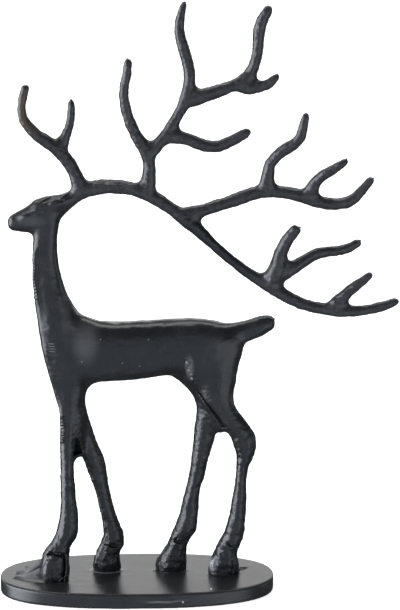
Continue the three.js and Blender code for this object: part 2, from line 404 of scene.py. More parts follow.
@dataclass(frozen=True)
class Stroke:
    """A run of the modelling tool along a skin, as a ridge or as the cutter of a groove.

    Attributes:
        run: The two coordinates and the half width at each point, in millimetres.
        lift: How far the middle of the run stands off the skin.
    """

    run: Run
    lift: float = 0.0

    def tube(self, skin: Skin) -> Piece:
        """Lay the run along a skin as a closed round tube.

        Args:
            skin: The skin that carries it.

        Returns:
            The tube.
        """
        bpy.ops.curve.primitive_nurbs_path_add()
        path = bpy.context.active_object
        curve = path.data
        curve.splines.clear()
        spline = curve.splines.new("NURBS")
        spline.points.add(len(self.run) - 1)
        for point, (first, second, half_width) in zip(spline.points, self.run):
            point.co = (*skin.place(first, second, self.lift), 1.0)
            point.radius = half_width
        spline.order_u = min(4, len(self.run))
        spline.use_endpoint_u = True
        curve.dimensions = "3D"
        curve.resolution_u = 6
        curve.bevel_depth = MM
        curve.bevel_resolution = 2
        curve.use_fill_caps = True
        Workbench.pick(path)
        bpy.ops.object.convert(target="MESH")
        tube = bpy.context.active_object
        Workbench.weld(tube)
        return tube


@dataclass(frozen=True)
class Ladder:
    """Short level ridges one below the other, as a mould's seam leaves them.

    Attributes:
        top: The two coordinates of the first ridge's outer end, in millimetres.
        foot: Those of the last ridge.
        count: The number of ridges.
        length: The length of a ridge.
        half_width: Half of its width.
        lift: How far its middle stands off the skin.
        uneven: The share by which the lengths differ.
        beat: How fast they change from ridge to ridge, in radians.
        slope: How much higher the inner end is than the outer one.
        ends: The shares of the half width that are left at the outer and the inner end.
    """

    top: Pair
    foot: Pair
    count: int
    length: float
    half_width: float
    lift: float = 0.2
    uneven: float = 0.3
    beat: float = 7.0
    slope: float = 0.2
    ends: Pair = (0.8, 0.5)

    def rungs(self) -> list[Stroke]:
        """Give the ridges, each a little shorter or longer than the last.

        Returns:
            The ridges, from the top down.
        """
        strokes = []
        for rung in range(self.count):
            share = rung / (self.count - 1)
            x, z = (first + share * (last - first) for first, last in zip(self.top, self.foot))
            length = self.length * (1.0 + self.uneven * math.sin(self.beat * rung))
            outer = (x, z, self.ends[0] * self.half_width)
            middle = (x + length / 2, z, self.half_width)
            inner = (x + length, z + self.slope, self.ends[1] * self.half_width)
            strokes.append(Stroke((outer, middle, inner), self.lift))
        return strokes


class Wire:
    """One value of a shader, on which Python's operators add Math nodes."""

    def __init__(self, shader: "NodeBench", socket: bpy.types.NodeSocket) -> None:
        """Keep the socket and the node tree that it belongs to."""
        self.shader = shader
        self.socket = socket

    def math(self, operation: str, *values: Any) -> "Wire":
        """Add a Math node.

        Args:
            operation: The node's operation.
            values: Its inputs, as wires or numbers.

        Returns:
            The node's result.
        """
        return self.shader.node("ShaderNodeMath", {"operation": operation}, dict(enumerate(values)))

    def __add__(self, other: Any) -> "Wire":
        """Add a value."""
        return self.math("ADD", self, other)

    __radd__ = __add__

    def __sub__(self, other: Any) -> "Wire":
        """Take a value away."""
        return self.math("SUBTRACT", self, other)

    def __rsub__(self, other: Any) -> "Wire":
        """Take this away from a value."""
        return self.math("SUBTRACT", other, self)

    def __mul__(self, other: Any) -> "Wire":
        """Multiply by a value."""
        return self.math("MULTIPLY", self, other)

    def most(self, other: Any) -> "Wire":
        """Give the larger of two values."""
        return self.math("MAXIMUM", self, other)

    def rise(self, low: float, high: float) -> "Wire":
        """Go smoothly from 0 at the low value to 1 at the high one."""
        return self.shader.node(
            "ShaderNodeMapRange",
            {"interpolation_type": "SMOOTHSTEP"},
            {"Value": self, "From Min": low, "From Max": high},
        )


class NodeBench:
    """A node tree, where any node is added by one method."""

    def __init__(self, tree: bpy.types.NodeTree) -> None:
        """Keep the tree."""
        self.tree = tree

    def node(self, kind: str, settings: dict[str, Any], inputs: dict[Any, Any], out: Any = 0) -> Wire:
        """Add any node.

        Args:
            kind: The node's type.
            settings: Its properties, set first.
            inputs: Its sockets by name or number, with values or wires.
            out: The name or number of the output to give back.

        Returns:
            That output.
        """
        node = self.tree.nodes.new(kind)
        for name, value in settings.items():
            setattr(node, name, value)
        for key, value in inputs.items():
            self.feed(node.inputs[key], value)
        return Wire(self, node.outputs[out])

    def feed(self, socket: bpy.types.NodeSocket, value: Any) -> None:
        """Link a wire to a socket, or set a plain value on it.

        Args:
            socket: The socket.
            value: The wire or the value.
        """
        if isinstance(value, Wire):
            self.tree.links.new(value.socket, socket)
        else:
            socket.default_value = value

    def blend(self, first: Any, second: Any, share: Any) -> Wire:
        """Mix two colours.

        Args:
            first: The colour where the share is 0.
            second: The colour where the share is 1.
            share: The mix.

        Returns:
            The mixed colour.
        """
        ends = [tint if isinstance(tint, Wire) else (*tint, 1.0) for tint in (first, second)]
        return self.node(
            "ShaderNodeMix", {"data_type": "RGBA"}, {0: share, 6: ends[0], 7: ends[1]}, 2
        )


@dataclass(frozen=True)
class Spot:
    """A stretched round patch of a finish, full in the middle and faded towards its border.

    Attributes:
        centre: Its middle, in millimetres.
        reach: Its half widths along x, y and z, in millimetres.
        share: How strong it is in the middle.
        inner: The part of its reach where it starts to fade.
        outer: The part where it ends.
    """

    centre: Place
    reach: Place
    share: float = 1.0
    inner: float = 0.3
    outer: float = 1.1


class Shader(NodeBench):
    """The node tree of one finish."""

    def __init__(self, name: str) -> None:
        """Start a material with a bare Principled shader.

        Args:
            name: The material's name.
        """
        self.material = bpy.data.materials.new(name)
        self.material.use_nodes = True
        super().__init__(self.material.node_tree)
        self.surface = next(n for n in self.tree.nodes if n.type == "BSDF_PRINCIPLED")
        self.place = self.node("ShaderNodeTexCoord", {}, {}, "Object")

    def set(self, **inputs: Any) -> None:
        """Feed the Principled shader, with underscores for the spaces of its socket names."""
        for name, value in inputs.items():
            self.feed(self.surface.inputs[name.replace("_", " ")], value)

    def noise(self, width: float, detail: float = 2.0, stretch: Place = (1.0, 1.0, 1.0)) -> Wire:
        """Give a cloudy pattern.

        Args:
            width: The width of a cloud, in millimetres.
            detail: How many finer layers it has.
            stretch: How much longer the clouds are along x, y and z.

        Returns:
            Its value, about 0 to 1.
        """
        scale = tuple(1.0 / (width * MM * share) for share in stretch)
        spread = self.node("ShaderNodeMapping", {}, {"Vector": self.place, "Scale": scale})
        return self.node("ShaderNodeTexNoise", {}, {"Vector": spread, "Scale": 1.0, "Detail": detail}, "Fac")

    def spot(self, spot: Spot) -> Wire:
        """Give the strength of a spot.

        Args:
            spot: The spot.

        Returns:
            Its share in the middle, and 0 outside.
        """
        scale = tuple(1.0 / (MM * reach) for reach in spot.reach)
        spread = self.node("ShaderNodeMapping", {}, {"Vector": self.place, "Scale": scale})
        middle = tuple(value / reach for value, reach in zip(spot.centre, spot.reach))
        ends = {0: spread, 1: middle}
        distance = self.node("ShaderNodeVectorMath", {"operation": "DISTANCE"}, ends, "Value")
        return (1 - distance.rise(spot.inner, spot.outer)) * spot.share

    def spots(self, spots: tuple[Spot, ...]) -> Wire:
        """Give the strength of several spots, the strongest where they overlap.

        Args:
            spots: The spots.

        Returns:
            Their common strength.
        """
        whole = self.spot(spots[0])
        for spot in spots[1:]:
            whole = whole.most(self.spot(spot))
        return whole

    def bump(self, height: Wire, depth: float, strength: float) -> Wire:
        """Turn a height pattern into a normal, with its depth in millimetres."""
        return self.node(
            "ShaderNodeBump", {}, {"Height": height, "Distance": depth * MM, "Strength": strength}, "Normal"
        )


@dataclass(frozen=True)
class StagIron:
    """Black wax over rough cast iron: painted highlights on shoulder, neck and cheek, bare iron on scar and
    toes, painted highlights on one toe, the chest and the forehoof's lumps, a paler antler, browned on one
    tine.

    Widths and depths are in millimetres. A cut gives the values where a pattern sets in and where it is full.

    Attributes:
        antler_pale: A paler tone over the antler, more in its pits.
        relief: How strongly the grain shows in the gloss.
        smooth_share: How much of the grain's depth is left on body, neck and head.
    """

    black: Colour = (0.0105, 0.0118, 0.0132)
    dusty: Colour = (0.022, 0.0235, 0.026)
    # A painted highlight colour, for the broadly lit patches of shoulder, neck and cheek.
    highlight_patch: Colour = (0.062, 0.064, 0.069)
    # A paler tone for the antler.
    antler_pale: Colour = (0.050, 0.0485, 0.0535)
    # Bare iron, also used for painted highlights and glints.
    rubbed_and_glint: Colour = (0.42, 0.43, 0.45)
    browned: Colour = (0.055, 0.040, 0.029)
    roughness: float = 0.30
    cloud_roughness: float = 0.15
    grain_roughness: float = 0.1
    antler_roughness: float = 0.02
    ior: float = 1.5
    cloud_width: float = 18.0
    grain_width: float = 1.1
    pit_width: float = 2.6
    grain_depth: float = 0.45
    grain_part: float = 0.5
    relief: float = 0.5
    smooth_share: float = 0.3
    dust_cut: Pair = (0.4, 0.75)
    dust_grain_cut: Pair = (0.3, 0.7)
    pit_cut: Pair = (0.40, 0.66)
    rubbed_and_lit_cut: Pair = (0.35, 0.6)
    pale_share: float = 0.16
    pale_in_pits: float = 0.28
    rubbed_and_lit_share: float = 0.45
    rubbed_and_lit_on_grain: float = 0.55
    # Painted highlights: lighter patches on shoulder, neck base and cheek, where the light falls broadly.
    highlight_spots: tuple[Spot, ...] = (
        Spot((-32.0, -18.0, 173.5), (9.0, 40.0, 16.0), 0.85, outer=1.3),
        Spot((-44.0, -9.0, 203.0), (4.5, 30.0, 30.0), 0.5, outer=1.3),
        Spot((-66.0, -8.0, 249.6), (11.0, 30.0, 3.6), 0.45, outer=1.3),
    )
    antler_spots: tuple[Spot, ...] = (
        Spot((40.0, 0.0, 325.0), (150.0, 100.0, 72.0), inner=0.9, outer=1.15),
        Spot((140.0, 0.0, 230.0), (64.0, 100.0, 62.0), inner=0.9, outer=1.15),
    )
    trunk_spots: tuple[Spot, ...] = (
        Spot((0.0, 0.0, 165.0), (72.0, 60.0, 36.0), inner=0.75, outer=1.15),
        Spot((-48.0, 0.0, 215.0), (20.0, 30.0, 44.0), inner=0.7, outer=1.15),
        Spot((-62.0, 0.0, 252.0), (24.0, 30.0, 15.0), inner=0.8, outer=1.15),
    )
    brown_spot: Spot = Spot((-71.0, 0.0, 318.0), (22.0, 22.0, 22.0), 0.8, 0.364, 1.0)
    # Bare iron on scar and toes; the toe spot at x 49 mm is also a painted highlight on the toe's lit left
    # facet.
    rubbed_and_lit_spots: tuple[Spot, ...] = (
        Spot((35.0, -17.0, 153.0), (3.6, 20.0, 11.0), 0.2, inner=0.5),
        Spot((14.6, -5.0, 14.6), (2.6, 12.0, 2.2)),
        Spot((49.2, -5.0, 17.2), (3.4, 12.0, 5.6)),
    )
    # Painted highlights: short bright dashes on the chest, where ridges break the light.
    glint_dashes: tuple[Place, ...] = (
        (-53.8, -12.0, 170.3), (-53.4, -12.0, 168.6), (-53.0, -12.0, 166.9), (-53.4, -12.0, 165.2),
    )
    glint_dash_reach: Place = (2.8, 20.0, 0.45)
    glint_dash_share: float = 0.2
    # Single bright specks on the body; those on the near forehoof are painted glints on its flash lumps.
    specks: tuple[Place, ...] = (
        (-22.2, -18.0, 173.3), (-34.4, -18.0, 158.6), (-8.3, -18.0, 157.7), (2.9, -18.0, 155.5),
        (8.6, -18.0, 172.9), (-50.4, -18.0, 11.6), (-49.0, -18.0, 12.8), (-47.2, -18.0, 12.0),
        (-45.6, -18.0, 14.2),
    )
    speck_reach: Place = (0.6, 20.0, 0.6)
    speck_share: float = 0.5

    def material(self) -> bpy.types.Material:
        """Make the finish.

        Returns:
            The material.
        """
        shader = Shader("stag_iron")
        clouds = shader.noise(self.cloud_width)
        grain = shader.noise(self.grain_width, detail=3.0)
        pits = shader.noise(self.pit_width, detail=1.0)
        antler = shader.spots(self.antler_spots)
        dust = clouds.rise(*self.dust_cut) * grain.rise(*self.dust_grain_cut)
        colour = shader.blend(self.black, self.dusty, dust)
        # Painted highlights on shoulder, neck base and cheek.
        for spot in self.highlight_spots:
            colour = shader.blend(colour, self.highlight_patch, shader.spot(spot))
        # A paler tone over the antler, more in its pits.
        paled = self.pale_share + pits.rise(*self.pit_cut) * self.pale_in_pits
        colour = shader.blend(colour, self.antler_pale, antler * paled)
        colour = shader.blend(colour, self.browned, shader.spot(self.brown_spot))
        # Bare iron mixed with painted highlights: scar and toes, the chest's dashes and the specks.
        colour = shader.blend(colour, self.rubbed_and_glint, self.bare_and_glints(shader, grain))
        rough = self.roughness + (clouds - NOISE_MIDDLE) * self.cloud_roughness
        rough = rough + (grain - NOISE_MIDDLE) * self.grain_roughness + antler * self.antler_roughness
        depth = 1 - shader.spots(self.trunk_spots) * (1 - self.smooth_share)
        fine = shader.bump((grain * self.grain_part + pits) * depth, self.grain_depth, self.relief)
        shader.set(Base_Color=colour, Roughness=rough, Normal=fine, IOR=self.ior)
        return shader.material

    def bare_and_glints(self, shader: Shader, grain: Wire) -> Wire:
        """Say where the pale colour goes: bare iron on scar and toes, painted highlights on one toe and on
        the chest, and single specks, painted glints on the forehoof's lumps.

        Args:
            shader: The finish's node tree.
            grain: The mould's grain.

        Returns:
            The share of the pale colour: bare iron and painted highlight.
        """
        pale_marks = shader.spots(self.rubbed_and_lit_spots)
        pale_marks = pale_marks * (self.rubbed_and_lit_share + grain.rise(*self.rubbed_and_lit_cut) * self.rubbed_and_lit_on_grain)
        for dash in self.glint_dashes:
            pale_marks = pale_marks.most(shader.spot(Spot(dash, self.glint_dash_reach, self.glint_dash_share, inner=0.4)))
        for speck in self.specks:
            pale_marks = pale_marks.most(shader.spot(Spot(speck, self.speck_reach, self.speck_share, outer=1.0)))
        return pale_marks


@dataclass(frozen=True)
class PlateIron:
    """Smooth black paint on the plate: streaked, scuffed and with paint chips at the rim, with a painted
    reflection on the filler and a painted highlight ring under one hoof.

    Widths and depths are in millimetres. A cut gives the values where a pattern sets in and where it is full.
    The painted highlight ring is what is left of its outer spot when the inner one is taken away.
    """

    black: Colour = (0.013, 0.0142, 0.0155)
    dusty: Colour = (0.03, 0.0315, 0.033)
    # Bare metal of the chips, also the colour of the painted highlight ring under a hoof.
    chip_and_glint: Colour = (0.55, 0.56, 0.57)
    scuffed: Colour = (0.11, 0.113, 0.116)
    # Pale grey for the filler run: a painted reflection of the bright back, which its tilted tops miss.
    filler: Colour = (0.15, 0.153, 0.158)
    roughness: float = 0.30
    streak_roughness: float = 0.14
    cloud_roughness: float = 0.06
    filler_roughness: float = 0.12
    ior: float = 1.5
    cloud_width: float = 25.0
    streak_width: float = 1.2
    streak_stretch: Place = (24.0, 1.0, 1.0)
    grain_width: float = 0.8
    grain_depth: float = 0.05
    grain_part: float = 0.5
    relief: float = 0.5
    dust_cut: Pair = (0.35, 0.8)
    scuff_cut: Pair = (0.45, 0.62)
    # How strongly the painted reflection shows on the filler.
    filler_reflection_share: float = 0.4
    filler_reflection_on_grain: float = 0.6
    scuff_spot: Spot = Spot((20.0, -39.5, 5.2), (20.0, 4.0, 1.6), inner=0.5)
    filler_spot: Spot = Spot((-68.0, -3.0, 13.0), (13.0, 17.0, 14.0), inner=0.4)
    # A painted highlight: a pale ring on the weld bead under the far forehoof, for the light line there.
    bead_outside: Spot = Spot((-20.6, 7.5, 10.0), (9.5, 7.1, 20.0), 0.22, 1.14, 1.2)
    bead_inside: Spot = Spot((-20.6, 7.5, 10.0), (9.5, 7.1, 20.0), 0.22, 0.9, 0.96)
    chips: tuple[Spot, ...] = (
        Spot((30.7, -39.5, 4.3), (0.8, 2.5, 0.8), inner=0.6, outer=1.0),
        Spot((48.9, -29.2, 10.0), (0.8, 2.5, 0.8), inner=0.6, outer=1.0),
    )

    def material(self) -> bpy.types.Material:
        """Make the finish.

        Returns:
            The material.
        """
        shader = Shader("plate_iron")
        clouds = shader.noise(self.cloud_width)
        streaks = shader.noise(self.streak_width, stretch=self.streak_stretch)
        grain = shader.noise(self.grain_width)
        run = shader.spot(self.filler_spot)
        colour = shader.blend(self.black, self.dusty, clouds.rise(*self.dust_cut) * streaks)
        scuffs = shader.spot(self.scuff_spot) * streaks.rise(*self.scuff_cut)
        colour = shader.blend(colour, self.scuffed, scuffs)
        # Painted reflection: the filler run made a paler grey.
        painted_reflection = run * (self.filler_reflection_share + grain * self.filler_reflection_on_grain)
        colour = shader.blend(colour, self.filler, painted_reflection)
        # Painted highlight: a pale ring on the bead under the far forehoof.
        bead_glint = shader.spot(self.bead_outside) - shader.spot(self.bead_inside)
        colour = shader.blend(colour, self.chip_and_glint, bead_glint)
        colour = shader.blend(colour, self.chip_and_glint, shader.spots(self.chips))
        rough = self.roughness + (streaks - NOISE_MIDDLE) * self.streak_roughness
        rough = rough + (clouds - NOISE_MIDDLE) * self.cloud_roughness + run * self.filler_roughness
        fine = shader.bump(streaks + grain * self.grain_part, self.grain_depth, self.relief)
        shader.set(Base_Color=colour, Roughness=rough, Normal=fine, IOR=self.ior)
        return shader.material


@dataclass
class Stag:
    """The casting from hooves to antler tips: its fillets, face, hooves, scars and mould lumps.

    Lengths are in millimetres, and regions are boxes in x and z.

    Attributes:
        fillet: How far the skin is swollen to fill its inner corners.
        regained: How much of that it keeps, for what the smoothing takes.
        antler_gain: What the thinner antler keeps beyond that.
        antler_run: The stretch along x in which that sets in.
        antler_gap: How far behind the trunk the antler starts to count.
        trunk: The region of body and neck, which is smoothed most.
        head: The region that has no rough lumps.
        fade: The width of a region's soft border.
        front_edge: Height and x of the front edge of neck and chest.
        edge_width: The depth of that edge along x.
        edge_push: How far it is pushed out to both sides.
        edge_fade: The height over which that fades out at both ends.
        sole_run: How far the hooves run on below the plate's top while they are shaped.
        sole_sink: How much of that stays.
        sole_slack: How far from the sole's level its faces may be.
        sole_facing: How straight down they face.
        rough_voxel: The size of the skin's faces while it is rounded.
        fine_voxel: Their size when the details are on.
        hoof_lumps: The x, z and radius of the lumps on the hooves, on the near side.
        hoof_sink: The share of a radius that such a lump is sunk by.
        hoof_block: The block of the near forehoof, in the upright plane at its lift.
    """

    finish: StagIron = StagIron()
    fillet: float = 2.8
    regained: float = 0.5
    antler_gain: float = 0.3
    antler_run: Pair = (35.0, 95.0)
    antler_gap: float = 5.0
    trunk: Region = ((-85.0, 112.0), (82.0, 245.0))
    nape: Region = ((-60.0, 225.0), (-22.0, 280.0))
    head: Region = ((-105.0, 222.0), (-32.0, 290.0))
    withers: Region = ((-54.0, 172.0), (-14.0, 214.0))
    fade: float = 20.0
    swollen_rounds: int = 14
    drawn_rounds: int = 6
    trunk_rounds: int = 80
    withers_rounds: int = 160
    skin_rounds: int = 2
    front_edge: tuple[Pair, ...] = (
        (112.0, -49.4), (119.0, -49.4), (137.0, -53.5), (155.0, -58.0), (173.0, -61.6), (191.0, -64.1),
        (209.0, -65.7), (236.0, -65.1),
    )
    edge_width: float = 6.0
    edge_push: float = 3.0
    edge_fade: float = 8.0
    sole_run: float = 2.0
    sole_sink: float = 0.3
    sole_slack: float = 0.1
    sole_facing: float = 0.9
    feet_top: float = 46.0
    feet_fade: float = 10.0
    rough_voxel: float = 0.8
    fine_voxel: float = 0.5
    triangles: int = 190_000
    ripples: tuple[Ripple, ...] = (
        Ripple(11.0, 0.9),
        Ripple(5.0, 1.0, group="feet"),
        Ripple(2.6, 0.3, (2.0, 2.0, 1.0)),
        Ripple(2.2, 0.45, group="limbs"),
    )
    face_ridges: tuple[Stroke, ...] = (
        Stroke((
            (-68.2, 256.0, 0.8), (-65.0, 256.6, 1.9), (-61.8, 257.6, 2.1), (-58.0, 259.2, 1.7),
            (-54.8, 260.6, 0.8),
        ), -1.75),
        Stroke(((-54.2, 260.8, 0.9), (-51.0, 262.5, 2.1), (-48.4, 264.0, 0.9)), -0.7),
        Stroke(((-46.8, 264.4, 0.7), (-45.0, 265.4, 1.3), (-42.0, 267.6, 0.9)), -0.3),
        Stroke(((-79.3, 250.9, 0.5), (-78.4, 250.8, 0.9), (-77.5, 250.6, 0.4))),
    )
    face_grooves: tuple[Stroke, ...] = (
        Stroke((
            (-74.0, 252.6, 0.5), (-70.0, 253.6, 1.2), (-66.0, 254.3, 1.7), (-63.0, 255.0, 1.9),
            (-58.6, 256.8, 1.8), (-53.5, 259.2, 1.2),
        ), 0.9),
        Stroke(((-60.0, 260.8, 0.8), (-56.0, 262.4, 1.4), (-51.8, 264.6, 0.8)), 0.5),
        Stroke(((-50.4, 263.4, 0.5), (-48.8, 263.8, 1.3), (-47.4, 263.6, 0.6)), -0.2),
        Stroke(((-47.4, 262.2, 0.5), (-45.8, 263.0, 1.2), (-44.6, 264.0, 0.5)), -0.2),
    )
    pastern_grooves: tuple[Stroke, ...] = (
        Stroke((
            (-61.8, 30.4, 1.2), (-57.5, 29.6, 1.6), (-52.5, 29.0, 1.8), (-48.0, 28.4, 2.0),
            (-44.0, 28.0, 2.0),
        ), -0.9),
        Stroke(((-23.4, 29.4, 0.7), (-19.2, 28.8, 1.3), (-15.2, 28.1, 1.4), (-11.3, 27.8, 1.0)), -0.3),
        Stroke((
            (20.8, 35.4, 0.6), (23.8, 31.9, 1.1), (27.1, 29.6, 1.2), (30.4, 30.8, 1.2), (34.0, 32.2, 0.9),
        ), -0.3),
        Stroke(((54.5, 36.0, 0.4), (58.8, 33.4, 0.9), (62.8, 30.6, 1.2), (66.1, 29.0, 1.0)), -0.3),
    )
    leg_grooves: tuple[Stroke, ...] = (
        Stroke((
            (39.0, 137.0, 0.7), (44.9, 130.2, 1.2), (50.1, 122.8, 1.5), (54.2, 116.8, 1.9),
            (57.2, 112.2, 2.4),
        ), -2.2),
        Stroke((
            (39.0, 137.0, 0.7), (44.9, 130.2, 1.2), (50.1, 122.8, 1.6), (54.2, 116.8, 2.2),
            (57.2, 112.2, 3.0),
        ), -0.4),
        Stroke(((-38.2, 104.0, 1.0), (-38.2, 99.0, 2.4), (-38.2, 93.0, 3.2)), -3.0),
        Stroke(((-38.2, 105.5, 0.9), (-38.2, 100.0, 2.8), (-38.2, 93.5, 4.4)), -0.6),
        Stroke(((-46.8, 28.0, 1.2), (-46.8, 22.0, 1.6), (-47.0, 14.0, 1.6), (-47.2, 5.0, 1.4)), -2.6),
        Stroke(((-46.8, 28.6, 1.4), (-46.8, 22.0, 1.8), (-47.0, 14.0, 1.8), (-47.2, 5.0, 1.6)), 0.0),
        Stroke(((63.2, 21.0, 0.5), (63.4, 17.0, 0.8), (63.6, 12.0, 0.7)), -0.1),
    )
    hoof_ridges: tuple[Stroke, ...] = (
        Stroke(((-60.4, 27.0, 1.0), (-60.6, 24.0, 2.0), (-61.2, 20.0, 1.8), (-62.0, 15.0, 1.2)), -1.0),
        Stroke(((-61.0, 31.8, 0.8), (-58.5, 31.6, 1.3), (-55.0, 31.6, 0.9)), -0.4),
    )
    hoof_block: Stroke = Stroke((
        (-55.0, 25.0, 4.4), (-55.5, 20.5, 6.2), (-55.7, 14.0, 6.4), (-55.7, 8.0, 6.2),
    ), -16.4)
    block_squash: float = 0.3
    ladders: tuple[Ladder, ...] = (
        Ladder((-65.4, 224.5), (-64.8, 199.5), 13, 2.2, 0.7),
        Ladder((-48.8, 120.0), (-48.2, 104.0), 8, 2.8, 0.8, 0.4),
    )
    hoof_lumps: Run = (
        (-20.2, 26.1, 1.4), (-21.4, 40.4, 1.0), (22.6, 33.6, 1.1), (25.6, 29.6, 1.2), (49.6, 17.4, 3.0),
        (56.5, 29.6, 1.7), (-50.0, 11.7, 1.1), (-48.4, 12.6, 0.9), (-46.2, 13.6, 1.0),
    )
    hoof_sink: float = 0.55
    scar_lumps: Run = (
        (33.2, 160.5, 1.1), (34.0, 157.1, 1.9), (32.6, 154.6, 1.0), (35.6, 154.0, 1.4), (35.3, 151.4, 1.8),
        (36.6, 148.6, 1.4), (37.2, 145.0, 1.7), (38.6, 142.6, 1.2),
    )
    scar_sink: float = 0.3
    tips: tuple[Stroke, ...] = (
        Stroke(((107.8, 311.5, 2.0), (108.4, 315.5, 1.7), (108.9, 318.5, 0.5))),
        Stroke(((108.2, 313.0, 1.6), (110.4, 316.0, 0.8))),
        Stroke(((129.5, 284.0, 2.2), (132.8, 287.0, 1.7), (135.1, 289.4, 0.5))),
        Stroke(((148.0, 270.5, 2.2), (150.8, 273.8, 1.6), (152.6, 276.2, 0.5))),
        Stroke(((101.5, 240.5, 2.4), (103.2, 243.4, 2.2))),
        Stroke(((101.0, 244.9, 0.9), (103.3, 244.6, 1.4), (105.7, 245.1, 0.7))),
        Stroke(((140.5, 232.6, 2.0), (143.0, 234.0, 1.6), (144.8, 235.5, 0.5))),
        Stroke(((148.0, 210.5, 2.0), (150.3, 212.7, 1.5), (152.0, 214.4, 0.5))),
        Stroke(((84.0, 182.0, 2.2), (87.5, 183.0, 1.7), (89.9, 183.8, 0.6))),
        Stroke(((85.0, 180.0, 2.0), (88.2, 179.2, 0.9))),
        Stroke(((69.8, 305.6, 2.0), (72.2, 306.2, 1.5), (73.8, 306.5, 0.6))),
        Stroke(((-39.9, 315.7, 2.3), (-40.2, 320.8, 2.6), (-40.1, 324.0, 1.7), (-39.8, 327.4, 0.5))),
        Stroke(((-3.3, 348.1, 2.2), (-4.0, 351.4, 1.4), (-4.2, 353.4, 0.5))),
        Stroke(((-3.0, 348.5, 1.8), (-1.3, 350.9, 0.8))),
        Stroke(((31.2, 383.6, 1.6), (32.0, 386.2, 1.2), (32.8, 388.2, 0.5))),
        Stroke(((86.8, 339.0, 2.0), (89.3, 341.2, 1.5), (91.0, 343.4, 0.5))),
    )
    beam_seam: Stroke = Stroke((
        (-25.6, 273.0, 0.5), (-18.7, 272.5, 0.9), (-10.4, 272.0, 1.0), (-2.8, 271.7, 0.9), (2.3, 272.7, 0.5),
    ), 0.1)

    def build(self) -> Piece:
        """Shape the casting from the solid.

        Returns:
            The finished piece.
        """
        piece = Workbench.casting_from("stag", "stag_casting")
        self.lengthen_soles(piece)
        self.round_crotches(piece)
        self.model_details(piece)
        Workbench.reskin(piece, self.fine_voxel, self.skin_rounds)
        Workbench.weight(piece, "feet", lambda place: (self.feet_top - place.z) / self.feet_fade)
        Workbench.weight(piece, "limbs", self.limb_share)
        for ripple in self.ripples:
            ripple.raise_on(piece)
        piece.vertex_groups.clear()
        triangles = 2 * len(piece.data.polygons)
        Workbench.apply(piece, Tool.THIN, ratio=min(1.0, self.triangles / triangles))
        self.cut_soles(piece)
        Workbench.pick(piece)
        bpy.ops.object.shade_smooth()
        return piece

    def lengthen_soles(self, piece: Piece) -> None:
        """Run the hooves on below the plate's top, so that no later step rounds their soles.

        Args:
            piece: The piece to change.
        """
        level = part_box("stag")[0].z + self.sole_slack * MM
        way = (0.0, 0.0, -self.sole_run * MM)
        Workbench.select_faces(
            piece, lambda face: face.normal.z < -self.sole_facing and face.center.z < level
        )
        bpy.ops.object.mode_set(mode="EDIT")
        bpy.ops.mesh.extrude_region_move(TRANSFORM_OT_translate={"value": way})
        bpy.ops.object.mode_set(mode="OBJECT")

    def cut_soles(self, piece: Piece) -> None:
        """Cut the hooves off flat, a hair below the plate's top.

        Args:
            piece: The piece to change.
        """
        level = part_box("stag")[0].z - self.sole_sink * MM
        Workbench.edit(
            piece,
            lambda: bpy.ops.mesh.bisect(
                plane_co=(0.0, 0.0, level), plane_no=(0.0, 0.0, 1.0), clear_inner=True, use_fill=True
            ),
        )

    def round_crotches(self, piece: Piece) -> None:
        """Fill the sharp inner corners with fillets, by swelling the skin and drawing it in again.

        Args:
            piece: The piece to change.
        """
        Workbench.swell(piece, self.fillet)
        Workbench.reskin(piece, self.rough_voxel, self.swollen_rounds)
        Workbench.swell(piece, self.regained - self.fillet)
        Workbench.reskin(piece, self.rough_voxel, self.drawn_rounds)
        Workbench.weight(piece, "trunk", self.trunk_share)
        Workbench.weight(piece, "antler", self.antler_share)
        Workbench.smooth(piece, self.trunk_rounds, "trunk")
        Workbench.weight(piece, "withers", lambda place: self.inside(place, self.withers))
        Workbench.smooth(piece, self.withers_rounds, "withers")
        self.square_front(piece)
        Workbench.swell(piece, self.antler_gain, "antler")
        piece.vertex_groups.clear()

    def trunk_share(self, place: Vector) -> float:
        """Say how far a point belongs to the broad trunk or the nape, from its place in millimetres."""
        return max(self.inside(place, self.trunk), self.inside(place, self.nape))

    def limb_share(self, place: Vector) -> float:
        """Say how far a point belongs to the rougher legs, tail and antler."""
        return 1.0 - max(self.trunk_share(place), self.inside(place, self.head))

    def inside(self, place: Vector, region: Region) -> float:
        """Say how far a point is inside a region, from 0 at its border to 1.

        Args:
            place: The point, in millimetres.
            region: The region.

        Returns:
            The share.
        """
        (low_x, low_z), (high_x, high_z) = region
        depth = min(place.x - low_x, high_x - place.x, place.z - low_z, high_z - place.z)
        return max(0.0, min(1.0, depth / self.fade))

    def square_front(self, piece: Piece) -> None:
        """Push the front edge of neck and chest out to both sides, as flat castings have it.

        Args:
            piece: The piece to change.
        """
        for side in Side:
            Workbench.weight(piece, side.name, lambda place: self.edge_share(place, side))
            Workbench.swell(piece, side.value * self.edge_push, side.name, Way.ACROSS)

    def edge_share(self, place: Vector, side: Side) -> float:
        """Say how near a point is to the front edge of neck and chest on one side.

        Args:
            place: The point, in millimetres.
            side: The side of the stag.

        Returns:
            The share, 1 at the edge.
        """
        if place.y * side.value <= 0.0:
            return 0.0
        low, high = self.front_edge[0][0], self.front_edge[-1][0]
        fade = max(0.0, min(1.0, (place.z - low) / self.edge_fade, (high - place.z) / self.edge_fade))
        edge = place.x
        for (foot, foot_x), (head, head_x) in zip(self.front_edge, self.front_edge[1:]):
            if foot <= place.z < head:
                edge = foot_x + (head_x - foot_x) * (place.z - foot) / (head - foot)
        return fade * max(0.0, 1.0 - (place.x - edge) / self.edge_width) ** 2

